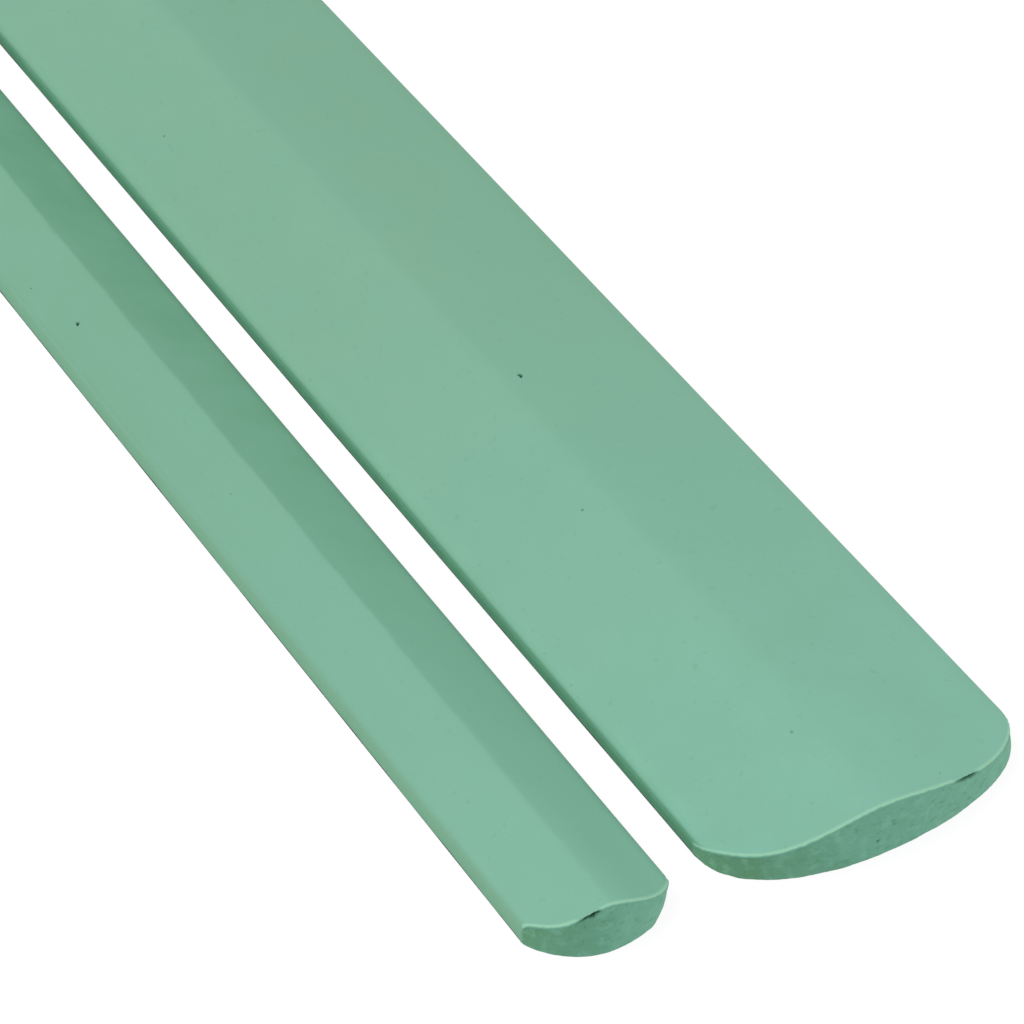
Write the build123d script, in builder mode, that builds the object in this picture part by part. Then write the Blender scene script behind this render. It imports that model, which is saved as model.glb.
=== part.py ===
import os
from math import cos, pi

from build123d import *

os.makedirs("parts", exist_ok=True)

# A pair of long floral foam bars lying side by side, each with a flat base, a crowned top
# and bowed ends. X runs across the bars, Y along them, Z up from the table. Millimetres.
# Each bar's left side is towards -X. The wide bar lies on the right, the narrow on the left.

# Both bars
bar_length = 600
skin_thickness = 1  # closed, denser surface layer over the crown
crown_steps = 40  # stations across each crown
roll_power = 14  # how late the shoulder rolls over to the side wall

# Wide bar
wide_width = 110
wide_crest = 21.8  # height along the crest line
wide_crest_shift = -5  # crest line from the bar's middle
wide_shoulders = (10.4, 8.4)  # heights left and right where the crown's rise starts
wide_shares = (0.88, 0.96)  # part of the way from crest to side wall that each rise takes
wide_edges = (7.5, 6.5)  # heights of the left and right side walls
wide_left_bow = 28  # how far each half of an end sweeps back to its side wall
wide_right_bow = 24

# Narrow bar
narrow_width = 47
narrow_crest = 20.6
narrow_crest_shift = -4
narrow_shoulders = (10.8, 10)
narrow_shares = (0.95, 0.92)
narrow_edges = (9.2, 6.5)
narrow_left_bow = 21
narrow_right_bow = 13

# How they lie
gap = 15
narrow_stagger = 9  # the narrow bar lies this much further along Y

pair_width = wide_width + gap + narrow_width
wide_half = wide_width / 2
narrow_half = narrow_width / 2
wide_x = (pair_width - wide_width) / 2
narrow_x = (narrow_width - pair_width) / 2
wide_near_y = -(bar_length + narrow_stagger) / 2
wide_far_y = wide_near_y + bar_length
narrow_near_y = wide_near_y + narrow_stagger
narrow_far_y = narrow_near_y + bar_length


def crown_height(across, half, crest, shift, shoulders, shares, edges):
    """Height of the crown at a distance across from the bar's middle."""
    from_crest = across - shift
    side = 1 if from_crest > 0 else 0
    wall_distance = half - shift if side else half + shift
    turn = min(abs(from_crest) / (shares[side] * wall_distance), 1)
    rise = (crest - shoulders[side]) * (1 + cos(pi * turn)) / 2
    roll_over = (shoulders[side] - edges[side]) * abs(across / half) ** roll_power
    return shoulders[side] + rise - roll_over


def crown_points(middle, section, below):
    """Points of the crown from the left wall to the right wall, lowered by below."""
    half = section[0]
    stations = [half * (2 * i / crown_steps - 1) for i in range(crown_steps + 1)]
    return [(middle + s, crown_height(s, *section) - below) for s in stations]


wide_section = (
    wide_half,
    wide_crest,
    wide_crest_shift,
    wide_shoulders,
    wide_shares,
    wide_edges,
)
wide_top = crown_points(wide_x, wide_section, below=0)
wide_under_skin = crown_points(wide_x, wide_section, below=skin_thickness)

narrow_section = (
    narrow_half,
    narrow_crest,
    narrow_crest_shift,
    narrow_shoulders,
    narrow_shares,
    narrow_edges,
)
narrow_top = crown_points(narrow_x, narrow_section, below=0)
narrow_under_skin = crown_points(narrow_x, narrow_section, below=skin_thickness)

# Outline of the wide bar on the table: straight sides, each end two quarter ellipses
with BuildSketch(Plane.XY) as wide_plan:
    with BuildLine():
        near_left = EllipticalCenterArc(
            (wide_x, wide_near_y + wide_left_bow),
            wide_half,
            wide_left_bow,
            start_angle=180,
            arc_size=90,
        )
        near_right = EllipticalCenterArc(
            (wide_x, wide_near_y + wide_right_bow),
            wide_half,
            wide_right_bow,
            start_angle=270,
            arc_size=90,
        )
        far_right = EllipticalCenterArc(
            (wide_x, wide_far_y - wide_right_bow),
            wide_half,
            wide_right_bow,
            start_angle=0,
            arc_size=90,
        )
        far_left = EllipticalCenterArc(
            (wide_x, wide_far_y - wide_left_bow),
            wide_half,
            wide_left_bow,
            start_angle=90,
            arc_size=90,
        )
        Line(near_right @ 1, far_right @ 0)
        Line(far_left @ 1, near_left @ 0)
    make_face()

# Outline of the narrow bar
with BuildSketch(Plane.XY) as narrow_plan:
    with BuildLine():
        near_left = EllipticalCenterArc(
            (narrow_x, narrow_near_y + narrow_left_bow),
            narrow_half,
            narrow_left_bow,
            start_angle=180,
            arc_size=90,
        )
        near_right = EllipticalCenterArc(
            (narrow_x, narrow_near_y + narrow_right_bow),
            narrow_half,
            narrow_right_bow,
            start_angle=270,
            arc_size=90,
        )
        far_right = EllipticalCenterArc(
            (narrow_x, narrow_far_y - narrow_right_bow),
            narrow_half,
            narrow_right_bow,
            start_angle=0,
            arc_size=90,
        )
        far_left = EllipticalCenterArc(
            (narrow_x, narrow_far_y - narrow_left_bow),
            narrow_half,
            narrow_left_bow,
            start_angle=90,
            arc_size=90,
        )
        Line(near_right @ 1, far_right @ 0)
        Line(far_left @ 1, near_left @ 0)
    make_face()

# Foam body of the wide bar: its cross-section run along Y, trimmed to the outline
with BuildPart() as wide_bar_core:
    with BuildSketch(Plane.XZ.offset(-wide_far_y)):
        with BuildLine():
            Spline(*wide_under_skin)
            Polyline(
                wide_under_skin[-1],
                (wide_x + wide_half, 0),
                (wide_x - wide_half, 0),
                wide_under_skin[0],
            )
        make_face()
    extrude(amount=bar_length)
    extrude(wide_plan.sketch, amount=wide_crest, mode=Mode.INTERSECT)
wide_bar_core.part.label = "wide_bar_core"
export_step(wide_bar_core.part, "parts/wide_bar_core.step")

# Skin over the wide bar's crown, face to face with the foam body
with BuildPart() as wide_bar_top_skin:
    with BuildSketch(Plane.XZ.offset(-wide_far_y)):
        with BuildLine():
            Spline(*wide_top)
            Line(wide_top[-1], wide_under_skin[-1])
            Spline(*wide_under_skin)
            Line(wide_under_skin[0], wide_top[0])
        make_face()
    extrude(amount=bar_length)
    extrude(wide_plan.sketch, amount=wide_crest, mode=Mode.INTERSECT)
wide_bar_top_skin.part.label = "wide_bar_top_skin"
export_step(wide_bar_top_skin.part, "parts/wide_bar_top_skin.step")

# Foam body of the narrow bar
with BuildPart() as narrow_bar_core:
    with BuildSketch(Plane.XZ.offset(-narrow_far_y)):
        with BuildLine():
            Spline(*narrow_under_skin)
            Polyline(
                narrow_under_skin[-1],
                (narrow_x + narrow_half, 0),
                (narrow_x - narrow_half, 0),
                narrow_under_skin[0],
            )
        make_face()
    extrude(amount=bar_length)
    extrude(narrow_plan.sketch, amount=narrow_crest, mode=Mode.INTERSECT)
narrow_bar_core.part.label = "narrow_bar_core"
export_step(narrow_bar_core.part, "parts/narrow_bar_core.step")

# Skin over the narrow bar's crown
with BuildPart() as narrow_bar_top_skin:
    with BuildSketch(Plane.XZ.offset(-narrow_far_y)):
        with BuildLine():
            Spline(*narrow_top)
            Line(narrow_top[-1], narrow_under_skin[-1])
            Spline(*narrow_under_skin)
            Line(narrow_under_skin[0], narrow_top[0])
        make_face()
    extrude(amount=bar_length)
    extrude(narrow_plan.sketch, amount=narrow_crest, mode=Mode.INTERSECT)
narrow_bar_top_skin.part.label = "narrow_bar_top_skin"
export_step(narrow_bar_top_skin.part, "parts/narrow_bar_top_skin.step")
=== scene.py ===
import math

import bmesh
import bpy
import numpy as np
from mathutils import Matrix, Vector, noise


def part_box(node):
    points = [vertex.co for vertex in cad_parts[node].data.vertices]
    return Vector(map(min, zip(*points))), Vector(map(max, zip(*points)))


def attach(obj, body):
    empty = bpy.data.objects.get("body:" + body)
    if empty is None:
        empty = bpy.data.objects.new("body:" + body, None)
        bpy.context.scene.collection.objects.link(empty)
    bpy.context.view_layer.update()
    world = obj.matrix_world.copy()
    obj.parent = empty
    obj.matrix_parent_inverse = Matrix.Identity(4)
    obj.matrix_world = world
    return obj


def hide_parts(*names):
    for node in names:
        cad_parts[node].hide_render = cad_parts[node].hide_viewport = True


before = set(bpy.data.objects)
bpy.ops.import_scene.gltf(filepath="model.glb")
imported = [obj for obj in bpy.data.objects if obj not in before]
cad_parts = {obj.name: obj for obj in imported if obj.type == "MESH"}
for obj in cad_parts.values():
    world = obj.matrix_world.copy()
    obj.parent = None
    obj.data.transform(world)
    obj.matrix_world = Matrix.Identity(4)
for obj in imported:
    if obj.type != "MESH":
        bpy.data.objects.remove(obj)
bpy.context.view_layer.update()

MM = 0.001
SKIN = 1.0 * MM         # thickness of the skin
PARTING = 0.03 * MM     # space between the foam and the underside of the skin
ROLL_POWER = 20         # how suddenly the top turns down towards a side wall
FOOT = 0.6 * MM         # height over which an end wall draws in at the table
ROWS = 400              # faces along the top, from one end wall to the other
SPLIT = 5               # columns of an end wall to one column of the top
CORE_LEVELS = 9         # faces up a side wall of the foam
SKIN_LEVELS = 1         # faces up the edge of the skin
LEVEL_SPLIT = 4         # levels of an end wall to one face of a side wall
SHARP = math.radians(50)


# ---------------------------------------------------------------- shape of a bar
# Each bar is described across by s, from -1 at its left wall to 1 at its right wall,
# and along by t, from 0 at its near end to 1 at its far end. The middle, half width, ends
# and crest height come from the CAD. The facts below are the rest. A pair has the left side's
# value first, apart from ridge_soft and gap.
#   shift        place of the crest, off the bar's middle
#   shoulders    height at the side wall before the top rolls down
#   edges        height of the side wall
#   shares       share of the way from crest to wall that the slope takes
#   ridge        share of a straight-sided ridge in the slope, the rest being a bell curve
#   ridge_soft   rounding of that ridge, at the near end and farther on
#   rounds       rounding of the top edge
#   wander       sideways waver of the crest
#   bows         how far an end sweeps back at the wall
#   corners      s at which an end's curve would meet the wall's line
#   end_power    power of that curve, 2 being an ellipse
#   gap          s of the middle of the torn gap, and its reach to each side
#   gap_depth    how far the foam is torn back there
#   tuck         how far an end leans in at its foot, on the right
#   columns      faces across the bar, before those added at the crest
#   pinholes     burst bubbles in the skin, in mm: across, along, radius, depth

def bar(core, skin, **facts):
    lo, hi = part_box(core)
    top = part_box(skin)[1]
    return dict(
        mid=(lo.x + hi.x) / 2, half=(hi.x - lo.x) / 2, near=lo.y, far=hi.y, crest=top.z, **facts
    )


WIDE = bar(
    "wide_bar_core", "wide_bar_top_skin",
    shift=-6.5 * MM, shoulders=(10.4 * MM, 8.4 * MM), shares=(0.88, 0.96),
    edges=(6.3 * MM, 6.5 * MM), bows=(29 * MM, 28 * MM), corners=(1.0, 1.0), end_power=2.15,
    ridge=(0.25, 0.85), ridge_soft=(5 * MM, 3 * MM), rounds=(1.2 * MM, 0.9 * MM), wander=0,
    gap=(0.445, 0.105), gap_depth=2.6 * MM, tuck=-1.0 * MM, seed=3.0, columns=64,
    pinholes=(
        (0.6, 221, 0.80, 0.80), (-15.6, 156, 0.40, 0.36), (-13.6, 40, 0.60, 0.22),
        (-23, 60, 0.40, 0.12), (17, 6, 0.30, 0.25), (-36, 402, 0.40, 0.30), (22, 130, 0.25, 0.15),
    ),
)
NARROW = bar(
    "narrow_bar_core", "narrow_bar_top_skin",
    shift=-3.0 * MM, shoulders=(10.8 * MM, 9.2 * MM), shares=(0.95, 0.96),
    edges=(8.6 * MM, 6.5 * MM), bows=(31 * MM, 13 * MM), corners=(1.15, 1.0), end_power=2.0,
    ridge=(0.45, 0.95), ridge_soft=(1.4 * MM, 0.3 * MM), rounds=(1.0 * MM, 0.8 * MM),
    wander=0.25 * MM, gap=(-0.40, 0.15), gap_depth=2.2 * MM, tuck=0.9 * MM, seed=17.0, columns=32,
    pinholes=(
        (-15, 317, 0.60, 0.7), (-19, 344, 0.30, 0.25), (-12, 215, 0.30, 0.20), (8, 470, 0.35, 0.30),
    ),
)


def smooth(x, a, b):
    """Eased step from 0 at a to 1 at b."""
    x = np.clip((x - a) / (b - a), 0, 1)
    return x * x * (3 - 2 * x)


def crown(b, s, t):
    """Height of the top surface."""
    from_crest = s * b["half"] - b["shift"]
    right = from_crest > 0

    def side(key):
        return np.where(right, b[key][1], b[key][0])

    reach = side("shares") * np.where(right, b["half"] - b["shift"], b["half"] + b["shift"])
    turn = np.minimum(np.abs(from_crest) / reach, 1)
    bell = (1 + np.cos(np.pi * turn)) / 2
    near_soft, far_soft = b["ridge_soft"]
    soft = (near_soft + (far_soft - near_soft) * smooth(t, 0, 0.3)) / reach
    tent = 1 - (np.sqrt(turn**2 + soft**2) - soft) / (np.sqrt(1 + soft**2) - soft)
    flat = side("ridge") * (0.5 + 0.5 * smooth(t, 0.0, 0.12))
    rise = (b["crest"] - side("shoulders")) * (bell + (tent - bell) * flat)
    roll = (side("shoulders") - side("edges")) * np.abs(s) ** ROLL_POWER
    inside = np.clip((1 - np.abs(s)) * b["half"] / side("rounds"), 0, 1)
    rounding = side("rounds") * (1 - np.sqrt(1 - (1 - inside) ** 2))
    return side("shoulders") + rise - roll - rounding


def end_bow(b, s):
    """How far an end sweeps back from its foremost point."""
    bow = np.where(s < 0, b["bows"][0], b["bows"][1])
    corner = np.where(s < 0, b["corners"][0], b["corners"][1])
    power = b["end_power"]
    return bow * (1 - np.clip(1 - np.abs(s / corner) ** power, 0, 1) ** (1 / power))


def place(b, s, t):
    """Position in plan."""
    bow = end_bow(b, s)
    y0, y1 = b["near"] + bow, b["far"] - bow
    off_crest = (s * b["half"] - b["shift"]) / (4 * MM)
    swing = np.sin(61 * t) + 0.7 * np.sin(143 * t + 1) + 0.6 * np.sin(257 * t + 2)
    wander = b["wander"] * swing * np.exp(-(off_crest**2))
    return b["mid"] + s * b["half"] + wander, y0 + t * (y1 - y0)


def stations(b):
    """Values of s across the bar, closer together at the walls and at the crest."""
    coarse = np.sin(np.linspace(-math.pi / 2, math.pi / 2, b["columns"] + 1))
    crest, step = b["shift"] / b["half"], 0.5 * MM / b["half"]
    coarse = [s for s in coarse if abs(s - crest) > 4 * step]
    coarse = np.sort(np.array(coarse + [crest + i * step for i in (-3.5, -2, -1, 0, 1, 2, 3.5)]))
    parts = [np.linspace(a, c, SPLIT, endpoint=False) for a, c in zip(coarse, coarse[1:])]
    return np.append(np.concatenate(parts), 1.0)


# ---------------------------------------------------------------- relief
def fbm(p, size, octaves=3):
    return noise.fractal(p / size, 1.0, 2.1, octaves, noise_basis="PERLIN_ORIGINAL")


def pits(p, size, share, reach):
    """Depth from 0 to 1 of open bubbles of uneven size. share is the part of cells that hold one."""
    dist, spots = noise.voronoi(p / size)
    centre = spots[0]
    pick = abs(noise.cell(centre * 7.31 + Vector((4.7, 1.3, 8.9))))
    if pick > share:
        return 0.0
    r = reach * (0.35 + 0.65 * pick / share)
    d = dist[0] / r
    return (1 - d * d) * (0.4 + 0.6 * pick / share) if d < 1 else 0.0


def cut_relief(p, seed):
    """How far in the knife-cut foam lies, and from 0 to 1 how deep in a bubble the point is, which sets
    its painted shade.
    """
    q = p + Vector((seed, seed * 0.7, -seed)) * 0.1
    wave = 0.20 * MM * fbm(q, 9 * MM)
    drag = 0.10 * MM * fbm(Vector((q.x * 0.35, q.y * 0.35, q.z * 1.6)), 1.7 * MM)
    grain = 0.05 * MM * fbm(q, 0.55 * MM, 2)
    big = pits(q, 4.6 * MM, 0.22, 0.17)
    small = pits(q + Vector((0.3, 0.1, 0.2)), 1.6 * MM, 0.30, 0.36)
    depth = wave + drag + grain + 0.70 * MM * big + 0.25 * MM * small
    return depth, min(1.0, 0.9 * big + 0.30 * small)


def gap_mask(b, s):
    """Where the skin has come away from the foam along the near end, from 0 to 1."""
    at, reach = b["gap"]
    along = (s - at) / reach
    wide_part = 0.45 + 0.55 * np.exp(-(((along - 0.3) / 0.35) ** 2))
    step = b["half"] / (0.8 * MM)
    ragged = np.array([0.8 + 0.5 * noise.noise(Vector((v * step, b["seed"], 0))) for v in s])
    return np.clip(1 - along**2, 0, 1) ** 0.5 * np.clip(wide_part * ragged, 0, 1)


def wall_wave(b, p):
    """Slow inward wave of a side wall along the bar."""
    return 0.16 * MM * fbm(Vector((p.x, p.y, b["seed"])), 28 * MM)


# ---------------------------------------------------------------- closed slab builder
class Slab:
    """A closed body between two surfaces, with fine end walls joined to a coarser run."""

    def __init__(self, b, levels):
        self.b = b
        self.fine = stations(b)
        self.coarse = self.fine[::SPLIT]
        self.t = np.linspace(0, 1, ROWS + 1)
        self.v = np.linspace(0, 1, levels * LEVEL_SPLIT + 1)
        self.points = []
        self.faces = []

    def add(self, xyz):
        """Adds a grid of points and returns their ids."""
        first = len(self.points)
        flat = np.stack([np.broadcast_to(c, xyz[2].shape) for c in xyz], -1)
        self.points.extend(map(tuple, flat.reshape(-1, 3)))
        return (first + np.arange(flat[..., 0].size)).reshape(flat.shape[:-1])

    def grid(self, ids):
        """Faces over a grid of point ids."""
        a, b, c, d = ids[:-1, :-1], ids[1:, :-1], ids[1:, 1:], ids[:-1, 1:]
        self.faces.extend(np.stack([a, b, c, d], -1).reshape(-1, 4).tolist())

    def stitch(self, fine, coarse, k):
        """Faces between a coarse line of points and one with k times as many steps."""
        for i in range(len(coarse) - 1):
            self.faces.append([*fine[i * k: (i + 1) * k + 1].tolist(), int(coarse[i + 1]), int(coarse[i])])

    def build(self, low, high):
        """Makes all points and faces. low and high give the two surfaces' heights at (s, t)."""
        b = self.b
        ends = []
        for t in (0.0, 1.0):
            x, y = place(b, self.fine, t)
            z0, z1 = low(self.fine, t), high(self.fine, t)
            z = z0[:, None] + (z1 - z0)[:, None] * self.v
            ends.append(self.add((x[:, None], y[:, None], z)))
            self.grid(ends[-1])
        inner = self.t[1:-1]
        x, y = place(b, self.coarse[:, None], inner[None, :])
        top = self.add((x, y, high(self.coarse[:, None], inner[None, :])))
        bottom = self.add((x, y, low(self.coarse[:, None], inner[None, :])))
        for run, level in ((top, -1), (bottom, 0)):
            self.grid(run)
            self.stitch(ends[0][:, level], run[:, 0], SPLIT)
            self.stitch(ends[1][:, level], run[:, -1], SPLIT)
        sides = []
        for i in (0, -1):
            s = self.coarse[i]
            x, y = place(b, s, inner)
            z0, z1 = low(s, inner) + 0 * y, high(s, inner) + 0 * y
            v = self.v[::LEVEL_SPLIT][1:-1]
            side = [bottom[i][:, None], top[i][:, None]]
            if len(v):
                z = z0[:, None] + (z1 - z0)[:, None] * v
                side.insert(1, self.add(((x + 0 * y)[:, None], y[:, None], z)))
            side = np.concatenate(side, 1)
            self.grid(side)
            self.stitch(ends[0][i], side[0], LEVEL_SPLIT)
            self.stitch(ends[1][i], side[-1], LEVEL_SPLIT)
            sides.append(side)
        self.ends, self.sides, self.top, self.bottom = ends, sides, top, bottom
        self.co = np.array(self.points)
        return self

    def outward(self, end):
        """Unit outward directions in plan along an end wall."""
        x, y = self.co[self.ends[end][:, 0], 0], self.co[self.ends[end][:, 0], 1]
        dx, dy = np.gradient(x), np.gradient(y)
        n = np.stack([dy, -dx], 1) if end == 0 else np.stack([-dy, dx], 1)
        return n / np.linalg.norm(n, axis=1)[:, None]

    def end_columns(self):
        """Every column of both end walls: its s, its point ids, the way out and the gap there."""
        for end in (0, 1):
            out = self.outward(end)
            gap = gap_mask(self.b, self.fine) if end == 0 else 0 * self.fine
            yield from zip(self.fine, self.ends[end], out, gap)

    def finish(self, name, marks):
        """Makes the object, with marks as attributes of its points for the materials."""
        mesh = bpy.data.meshes.new(name)
        mesh.from_pydata(self.co.tolist(), [], self.faces)
        for key, values in marks.items():
            mesh.attributes.new(key, "FLOAT", "POINT").data.foreach_set("value", values.astype(np.float32))
        bm = bmesh.new()
        bm.from_mesh(mesh)
        bmesh.ops.recalc_face_normals(bm, faces=bm.faces)
        bm.to_mesh(mesh)
        bm.free()
        mesh.polygons.foreach_set("use_smooth", [True] * len(mesh.polygons))
        mesh.set_sharp_from_angle(angle=SHARP)
        piece = bpy.data.objects.new(name, mesh)
        bpy.context.scene.collection.objects.link(piece)
        return piece


def make_core(b, name):
    """The foam body: cut and torn ends, and side walls with a slow wave."""
    def low(s, t):
        return 0 * (s + t)

    def high(s, t):
        return crown(b, s, t) - SKIN - PARTING

    slab = Slab(b, CORE_LEVELS).build(low, high)
    co = slab.co
    pit_shade = np.zeros(len(co))
    cut = np.zeros(len(co))
    for s, column, out, gap in slab.end_columns():
        top_z = co[column[-1], 2]
        tucked = smooth(s, 0.5, 0.85)
        for v in column:
            p = Vector(co[v])
            depth, inside = cut_relief(p, b["seed"])
            if gap > 0:
                ragged = 0.75 + 0.5 * noise.noise(p / (0.9 * MM))
                height = (0.2 + 1.4 * gap) * MM * ragged
                tear = max(0.0, 1 - (top_z - p.z) / height) ** 0.5 * gap
                depth += b["gap_depth"] * tear
                inside = max(inside, min(1.0, 1.6 * tear))
            if p.z < FOOT:
                depth += 0.15 * MM * (1 - p.z / FOOT) ** 2
            depth += b["tuck"] * (1 - p.z / top_z) * tucked
            co[v, :2] -= out * depth
            # painted shade inside bubbles and the torn gap
            pit_shade[v] = inside
            cut[v] = 1.0
    for side, inward in zip(slab.sides, (1, -1)):
        for row in side[1:-1]:
            for k, v in enumerate(row):
                p = Vector(co[v])
                lift = p.z / b["edges"][0]
                wave = 0.10 * MM * fbm(p, 5 * MM) * min(1, 3 * (1 - lift)) * min(1, 4 * lift)
                foot = 0.3 * MM if k == 0 else 0
                co[v, 0] += inward * (wall_wave(b, p) + wave + foot)
    tone = (co[:, 0] - b["mid"]) / b["half"]
    return slab.finish(name, {"pit_shade": pit_shade, "cut": cut, "tone": tone})


def make_skin(b, name):
    """The skin over the foam, with a nicked rim that lifts back over the torn gap."""
    def low(s, t):
        return crown(b, s, t) - SKIN

    def high(s, t):
        return crown(b, s, t)

    slab = Slab(b, SKIN_LEVELS).build(low, high)
    co = slab.co
    cut = np.zeros(len(co))
    pit_shade = np.zeros(len(co))
    under = np.zeros(len(co))
    for _, column, out, gap in slab.end_columns():
        for v, up in zip(column, slab.v):
            p = Vector(co[v])
            nick = 0.12 * MM * noise.noise(p / (1.3 * MM)) + 0.08 * MM * noise.noise(p / (0.4 * MM))
            inset = nick + 0.30 * MM * up**4 - 0.12 * MM
            inset += gap * 1.6 * MM * smooth(up, 1.0, 0.4)
            co[v, :2] -= out * inset
            level = up + 0.25 * noise.noise(p / (1.6 * MM))
            # rim mask along the end's top edge, partly the skin's cut edge and partly a painted highlight
            cut[v] = smooth(level, 0.5, 0.85) * (1 - smooth(gap, 0.05, 0.3))
            under[v] = 1 - smooth(level, 0.4, 0.7)
            # painted shade in the gap under the lifted skin
            pit_shade[v] = smooth(gap, 0.1, 0.5) * smooth(up, 1.0, 0.7)
    for side, inward in zip(slab.sides, (1, -1)):
        for v in side[1:-1].reshape(-1):
            co[v, 0] += inward * wall_wave(b, Vector(co[v]))
    for ids in (slab.top, slab.bottom):
        flat = ids.reshape(-1)
        lift = [fbm(Vector((co[v, 0], co[v, 1] * 0.5, b["seed"])), 45 * MM, 2) for v in flat]
        co[flat, 2] += 0.10 * MM * np.array(lift)
    s = (co[:, 0] - b["mid"]) / b["half"]
    beyond = co[:, 0] - b["mid"] - b["shift"]
    # mask of the right flank, which gets painted shade
    flank = smooth(beyond, -b["ridge_soft"][1], b["ridge_soft"][1] + 0.5 * MM)
    flank *= 0.7 + 0.3 * beyond / b["half"]
    # mask of the skin's side edges, which take the wall's painted shade
    side = smooth((1 - np.abs(s)) * b["half"], 0.4 * MM, 0.1 * MM)
    # mask of the left top edge, for its painted light
    roll = np.clip((-s - 0.90) / 0.10, 0, 1) ** 1.5
    marks = {"pit_shade": pit_shade, "cut": cut, "under": under, "flank": flank, "side": side, "roll": roll}
    return slab.finish(name, marks)


# ---------------------------------------------------------------- pinholes in the skin
LENGTHEN = 1.45         # a bubble is this much longer along the bar than across
LIP = 1.5               # outer edge of the raised lip, in radii


def pinhole(b, across, along, radius, depth):
    """Opens a burst bubble, across from the bar's middle and along from its near end, in mm."""
    mesh = b["skin"].data
    spot = Vector((b["mid"] + across * MM, b["near"] + along * MM))
    bm = bmesh.new()
    bm.from_mesh(mesh)
    pit_shade = bm.verts.layers.float["pit_shade"]
    reach = 3.2 * MM
    faces = [f for f in bm.faces
             if f.normal.z > 0.5 and (f.calc_center_median().xy - spot).length < reach]
    edges = {e for f in faces for e in f.edges}
    bmesh.ops.subdivide_edges(bm, edges=list(edges), cuts=7, use_grid_fill=True)
    bm.normal_update()
    for v in bm.verts:
        if v.normal.z > 0.5:
            off = v.co.xy - spot
            off.y /= LENGTHEN
            if off.length > 3 * radius * MM:
                continue
            turn = math.atan2(off.y, off.x)
            r = radius * MM * (1 + 0.18 * math.sin(3 * turn + along) + 0.1 * math.sin(5 * turn))
            d = off.length / r
            if d < 1:
                v.co.z -= depth * MM * (1 - d**3)
                # painted shade inside the pinhole
                v[pit_shade] = (1 - d**4) * min(1, depth / 0.6)
            elif d < LIP:
                v.co.z += 0.05 * MM * (LIP - d) / (LIP - 1)
    bm.to_mesh(mesh)
    bm.free()
    mesh.polygons.foreach_set("use_smooth", [True] * len(mesh.polygons))


# ---------------------------------------------------------------- materials
def srgb(r, g, b):
    """Linear colour from screen values of 0 to 255."""
    def linear(c):
        c /= 255
        return c / 12.92 if c <= 0.04045 else ((c + 0.055) / 1.055) ** 2.4

    return (linear(r), linear(g), linear(b), 1)


class Nodes:
    """A node material, with short calls for the nodes that it needs."""

    def __init__(self, name):
        self.material = bpy.data.materials.new(name)
        self.material.use_nodes = True
        self.tree = self.material.node_tree
        self.tree.nodes.clear()
        out = self.new("ShaderNodeOutputMaterial")
        self.shader = self.new("ShaderNodeBsdfPrincipled")
        self.link(self.shader.outputs["BSDF"], out.inputs["Surface"])
        self.place = self.new("ShaderNodeTexCoord").outputs["Object"]

    def new(self, kind, **values):
        node = self.tree.nodes.new(kind)
        for key, value in values.items():
            if hasattr(node, key):
                setattr(node, key, value)
            else:
                node.inputs[key].default_value = value
        return node

    def link(self, a, b):
        self.tree.links.new(a, b)

    def axis(self, name):
        node = self.new("ShaderNodeSeparateXYZ")
        self.link(self.place, node.inputs[0])
        return node.outputs[name]

    def noise(self, scale, detail, rough, stretch=(1, 1, 1), seed=0.0):
        node = self.new("ShaderNodeTexNoise", Scale=scale, Detail=detail, Roughness=rough)
        mapping = self.new("ShaderNodeMapping")
        mapping.inputs["Scale"].default_value = stretch
        mapping.inputs["Location"].default_value = (seed, seed * 0.37, -seed * 0.61)
        self.link(self.place, mapping.inputs["Vector"])
        self.link(mapping.outputs["Vector"], node.inputs["Vector"])
        return node.outputs["Fac"]

    def cells(self, scale):
        node = self.new("ShaderNodeTexVoronoi", feature="F1", Scale=scale)
        self.link(self.place, node.inputs["Vector"])
        return node.outputs["Distance"]

    def map(self, value, a, b, c=0.0, d=1.0):
        """value from a to b, brought to c to d and held within it."""
        node = self.new("ShaderNodeMapRange")
        for socket, number in zip(("From Min", "From Max", "To Min", "To Max"), (a, b, c, d)):
            node.inputs[socket].default_value = number
        self.link(value, node.inputs["Value"])
        return node.outputs["Result"]

    def math(self, operation, a, b):
        node = self.new("ShaderNodeMath", operation=operation)
        for socket, value in zip(node.inputs, (a, b)):
            if isinstance(value, (int, float)):
                socket.default_value = value
            else:
                self.link(value, socket)
        return node.outputs[0]

    def mix(self, factor, a, b, blend="MIX"):
        node = self.new("ShaderNodeMix", data_type="RGBA", blend_type=blend)
        for socket, value in ((node.inputs[0], factor), (node.inputs[6], a), (node.inputs[7], b)):
            if isinstance(value, (int, float, tuple)):
                socket.default_value = value
            else:
                self.link(value, socket)
        return node.outputs[2]

    def attribute(self, name):
        return self.new("ShaderNodeAttribute", attribute_name=name).outputs["Fac"]

    def bump(self, height, distance, strength, after=None):
        node = self.new("ShaderNodeBump", Strength=strength, Distance=distance)
        self.link(height, node.inputs["Height"])
        if after:
            self.link(after, node.inputs["Normal"])
        return node.outputs["Normal"]

    def finish(self, colour, roughness, normal, diffuse_roughness):
        self.link(colour, self.shader.inputs["Base Color"])
        self.link(roughness, self.shader.inputs["Roughness"])
        self.link(normal, self.shader.inputs["Normal"])
        self.shader.inputs["Specular IOR Level"].default_value = 0.12
        self.shader.inputs["Diffuse Roughness"].default_value = diffuse_roughness
        return self.material


CORE_TONE = srgb(103, 159, 137)


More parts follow.
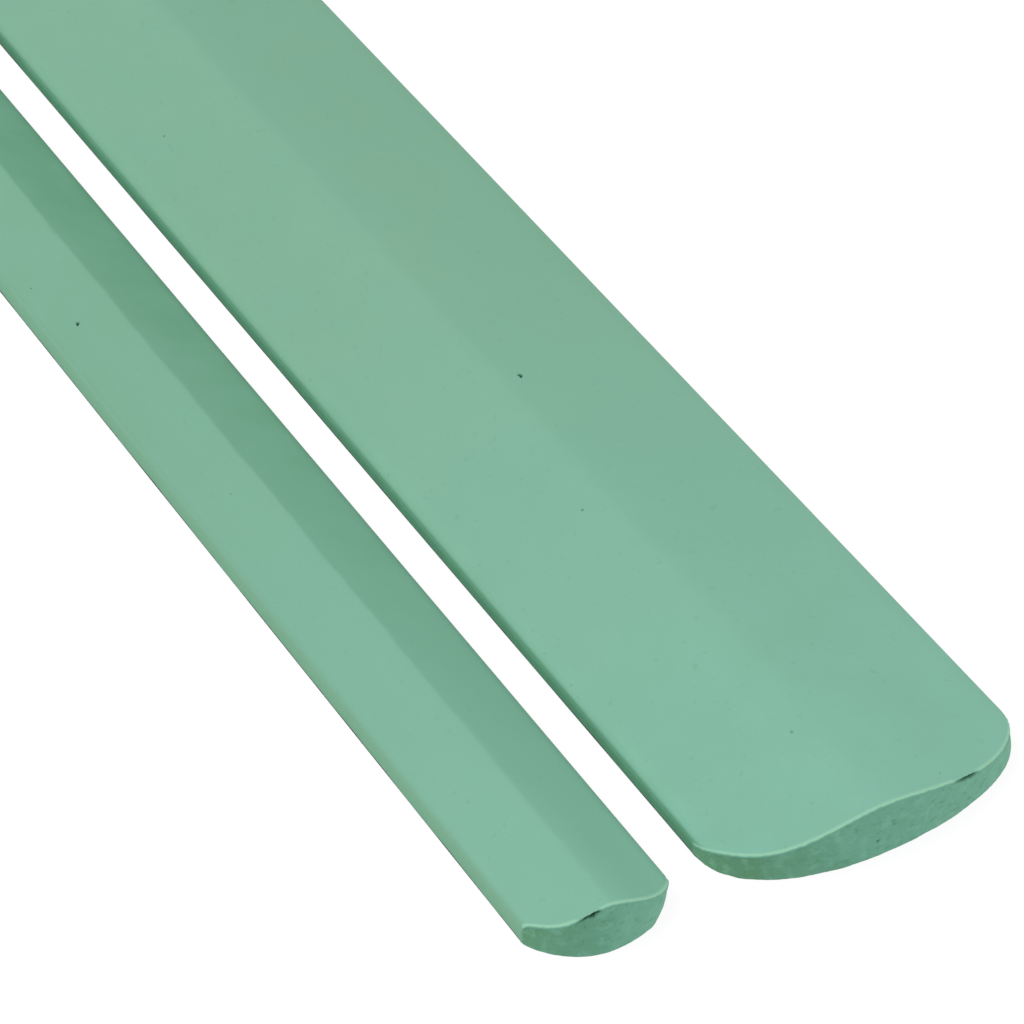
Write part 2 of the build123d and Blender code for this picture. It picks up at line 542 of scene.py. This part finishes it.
def foam_material(seed, wall_foot_shade, wall_top_shade):
    """Open cut foam: mottled green with pale and dark patches and fine cells. Walls are plainer, in
    colours that carry painted shade: darker towards the foot, and on the wide bar dark all over as the
    narrow bar's painted shadow.
    """
    n = Nodes("foam_core")
    broad = n.noise(55, 3, 0.55, seed=seed)
    patch = n.noise(260, 4, 0.6, seed=seed + 2)
    streak = n.noise(420, 3, 0.55, (0.7, 0.7, 1.5), seed=seed + 5)
    grain = n.noise(2600, 2, 0.6, seed=seed + 8)
    cut = n.attribute("cut")
    across = n.math("ADD", n.attribute("tone"), n.map(broad, 0.3, 0.7, -0.35, 0.35))
    colour = n.mix(n.map(across, -0.9, -0.1), srgb(88, 137, 104), CORE_TONE)
    colour = n.mix(n.map(across, -0.1, 0.8), colour, srgb(113, 165, 142))
    colour = n.mix(n.map(patch, 0.50, 0.72, 0, 0.50), colour, srgb(124, 178, 155))
    colour = n.mix(n.map(streak, 0.56, 0.68, 0, 0.6), colour, srgb(84, 136, 112))
    colour = n.mix(n.map(grain, 0.35, 0.75, 0, 0.2), colour, srgb(124, 178, 152))
    lift = n.map(n.axis("Z"), 1 * MM, 5.5 * MM)
    # painted shade on the side walls: from the darker foot colour near the table to the top colour higher
    # up
    side = n.mix(n.math("ADD", lift, n.map(patch, 0.3, 0.7, -0.2, 0.2)), wall_foot_shade, wall_top_shade)
    colour = n.mix(cut, side, colour)
    # painted shade inside bubbles and the torn gap
    colour = n.mix(n.map(n.attribute("pit_shade"), 0.05, 0.8, 0, 0.95), colour, srgb(30, 76, 56))
    normal = n.bump(n.cells(1500), 0.12 * MM, 0.5)
    normal = n.bump(grain, 0.10 * MM, 0.6, normal)
    normal = n.bump(patch, 0.35 * MM, 0.5, normal)
    return n.finish(colour, n.map(grain, 0.3, 0.7, 0.82, 0.98), normal, 0.3)


def skin_material(seed, near_tones, far_tones, flank_painted_shade, wall, roll_painted_shading):
    """Closed, smooth surface: pale green, faintly clouded, with a very fine tooth.

    The tones go from near to far. The flank tint multiplies in painted shade on the right flank, which
    faces away from the light. The roll tint multiplies in painted light on the left top edge where the top
    turns down, and on the narrow bar a faint painted shade there. The side edges take the wall's painted
    shade, and bubbles and the torn gap get painted shade.
    """
    n = Nodes("foam_skin")
    broad = n.noise(9, 2, 0.5, (1, 0.5, 1), seed=seed)
    cloud = n.noise(45, 3, 0.55, seed=seed + 3)
    speck = n.noise(900, 2, 0.6, seed=seed + 6)
    dent = n.noise(380, 2, 0.5, seed=seed + 12)
    tooth = n.noise(3200, 2, 0.7, seed=seed + 9)
    along = n.axis("Y")
    far = n.map(along, -0.29, -0.02)
    near_tone = n.mix(n.map(broad, 0.3, 0.7), *near_tones)
    far_tone = n.mix(n.map(broad, 0.3, 0.7), *far_tones)
    colour = n.mix(far, near_tone, far_tone)
    farther = n.map(along, -0.35, 0.10, 0.2, 1.0)
    # painted shade on the right flank, stronger farther along the bar
    colour = n.mix(n.math("MULTIPLY", n.attribute("flank"), farther), colour, flank_painted_shade, "MULTIPLY")
    # painted light on the left top edge where the top turns down; on the narrow bar a faint painted shade
    colour = n.mix(n.attribute("roll"), colour, roll_painted_shading, "MULTIPLY")
    # painted shade: the skin's side edges take the wall's shaded colour
    colour = n.mix(n.attribute("side"), colour, wall)
    colour = n.mix(n.map(cloud, 0.35, 0.7, 0, 0.35), colour, srgb(112, 161, 139))
    colour = n.mix(n.map(speck, 0.62, 0.80, 0, 0.30), colour, srgb(104, 152, 130))
    colour = n.mix(n.map(dent, 0.66, 0.74, 0, 0.35), colour, srgb(102, 150, 128))
    colour = n.mix(n.map(tooth, 0.3, 0.7, 0, 0.14), colour, srgb(130, 178, 154))
    # pale rim: partly the skin's paler cut edge, partly a painted highlight where the rounded top edge
    # catches the light
    colour = n.mix(n.map(n.attribute("cut"), 0.1, 0.9, 0, 0.9), colour, srgb(142, 190, 162))
    colour = n.mix(n.attribute("under"), colour, CORE_TONE)
    # painted shade in pinholes and under the lifted skin
    colour = n.mix(n.map(n.attribute("pit_shade"), 0.1, 0.9, 0, 0.95), colour, srgb(24, 70, 50))
    normal = n.bump(tooth, 0.06 * MM, 0.35)
    normal = n.bump(speck, 0.08 * MM, 0.4, normal)
    return n.finish(colour, n.map(tooth, 0.3, 0.7, 0.78, 0.92), normal, 0.0)


# ---------------------------------------------------------------- build
for b, core, skin, body, walls, cover_look in (
    (
        WIDE, "wide_bar_core", "wide_bar_top_skin", "wide_bar",
        # wall colours with painted shade: the wide bar's walls carry the narrow bar's painted shadow and
        # darken towards the foot
        dict(wall_foot_shade=srgb(73, 123, 96), wall_top_shade=srgb(84, 141, 111)),
        dict(
            near_tones=(srgb(119, 170, 151), srgb(121, 172, 153)),
            far_tones=(srgb(117, 161, 137), srgb(120, 163, 139)),
            # flank tint: painted shade on the right flank; roll tint: painted light on the left top edge
            flank_painted_shade=(0.93, 0.96, 0.95, 1), roll_painted_shading=(1.14, 1.15, 1.13, 1),
        ),
    ),
    (
        NARROW, "narrow_bar_core", "narrow_bar_top_skin", "narrow_bar",
        # wall colours with painted shade, darker towards the foot
        dict(wall_foot_shade=srgb(108, 154, 128), wall_top_shade=srgb(113, 160, 133)),
        dict(
            near_tones=(srgb(116, 165, 145), srgb(118, 167, 147)),
            far_tones=(srgb(110, 155, 131), srgb(112, 157, 133)),
            # flank tint: strong painted shade on the right flank; roll tint: faint painted shade on the
            # left top edge
            flank_painted_shade=(0.68, 0.85, 0.76, 1), roll_painted_shading=(0.97, 0.97, 0.97, 1),
        ),
    ),
):
    foam = make_core(b, core + "_foam")
    foam.data.materials.append(foam_material(b["seed"], **walls))
    cover = make_skin(b, skin + "_surface")
    # the skin's side edges get the top wall colour, with its painted shade
    cover.data.materials.append(skin_material(b["seed"] + 3, wall=walls["wall_top_shade"], **cover_look))
    for piece, node, slot in ((foam, core, "foam_core"), (cover, skin, "foam_skin")):
        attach(piece, body)
        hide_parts(node)
    b["skin"] = cover

for b in (WIDE, NARROW):
    for hole in b["pinholes"]:
        pinhole(b, *hole)


# ---------------------------------------------------------------- floor, light and camera
FLOOR_REACH = 6
FLOOR_DROP = 0.1 * MM   # keeps the floor clear of the undersides
AIM = Vector((0, -0.1, 0))

floor = bpy.data.objects.new("floor", bpy.data.meshes.new("floor"))
corners = [
    (x * FLOOR_REACH, y * FLOOR_REACH, -FLOOR_DROP) for x, y in ((-1, -1), (1, -1), (1, 1), (-1, 1))
]
floor.data.from_pydata(corners, [], [(0, 1, 2, 3)])
bpy.context.scene.collection.objects.link(floor)
pale = bpy.data.materials.new("floor")
pale.use_nodes = True
glow = pale.node_tree.nodes["Principled BSDF"]
glow.inputs["Base Color"].default_value = (0.12, 0.12, 0.12, 1)
glow.inputs["Roughness"].default_value = 1.0
glow.inputs["Specular IOR Level"].default_value = 0.0
glow.inputs["Emission Color"].default_value = (1, 1, 1, 1)
glow.inputs["Emission Strength"].default_value = 0.89
floor.data.materials.append(pale)

world = bpy.data.worlds.new("studio")
world.use_nodes = True
world.node_tree.nodes["Background"].inputs["Color"].default_value = (1, 1, 1, 1)
world.node_tree.nodes["Background"].inputs["Strength"].default_value = 0.80
bpy.context.scene.world = world
bpy.context.scene.view_settings.view_transform = "Standard"


def soft_light(name, toward, distance, size, watts):
    """A round lamp that stands off in one direction and shines back at the bars."""
    light = bpy.data.lights.new(name, "AREA")
    light.shape, light.size, light.energy = "DISK", size, watts
    lamp = bpy.data.objects.new(name, light)
    toward = Vector(toward).normalized()
    lamp.location = AIM + toward * distance
    lamp.rotation_mode = "QUATERNION"
    lamp.rotation_quaternion = (-toward).to_track_quat("-Z", "Y")
    bpy.context.scene.collection.objects.link(lamp)


soft_light("key", (-0.62, 0.15, 1.0), 3.0, 2.0, 46)
soft_light("fill", (0.80, -0.70, 0.30), 3.0, 1.6, 14)

camera = bpy.data.objects.new("camera", bpy.data.cameras.new("camera"))
bpy.context.scene.collection.objects.link(camera)
azimuth, elevation = math.radians(-31.053), math.radians(42.993)
back = Vector((
    math.sin(azimuth) * math.cos(elevation),
    -math.cos(azimuth) * math.cos(elevation),
    math.sin(elevation),
))
camera.location = (-0.5295, -1.0101, 0.9696)
camera.rotation_mode = "QUATERNION"
camera.rotation_quaternion = (-back).to_track_quat("-Z", "Y")
camera.data.sensor_width = 36
camera.data.lens = 154.7
camera.data.clip_start = 0.05
bpy.context.scene.camera = camera
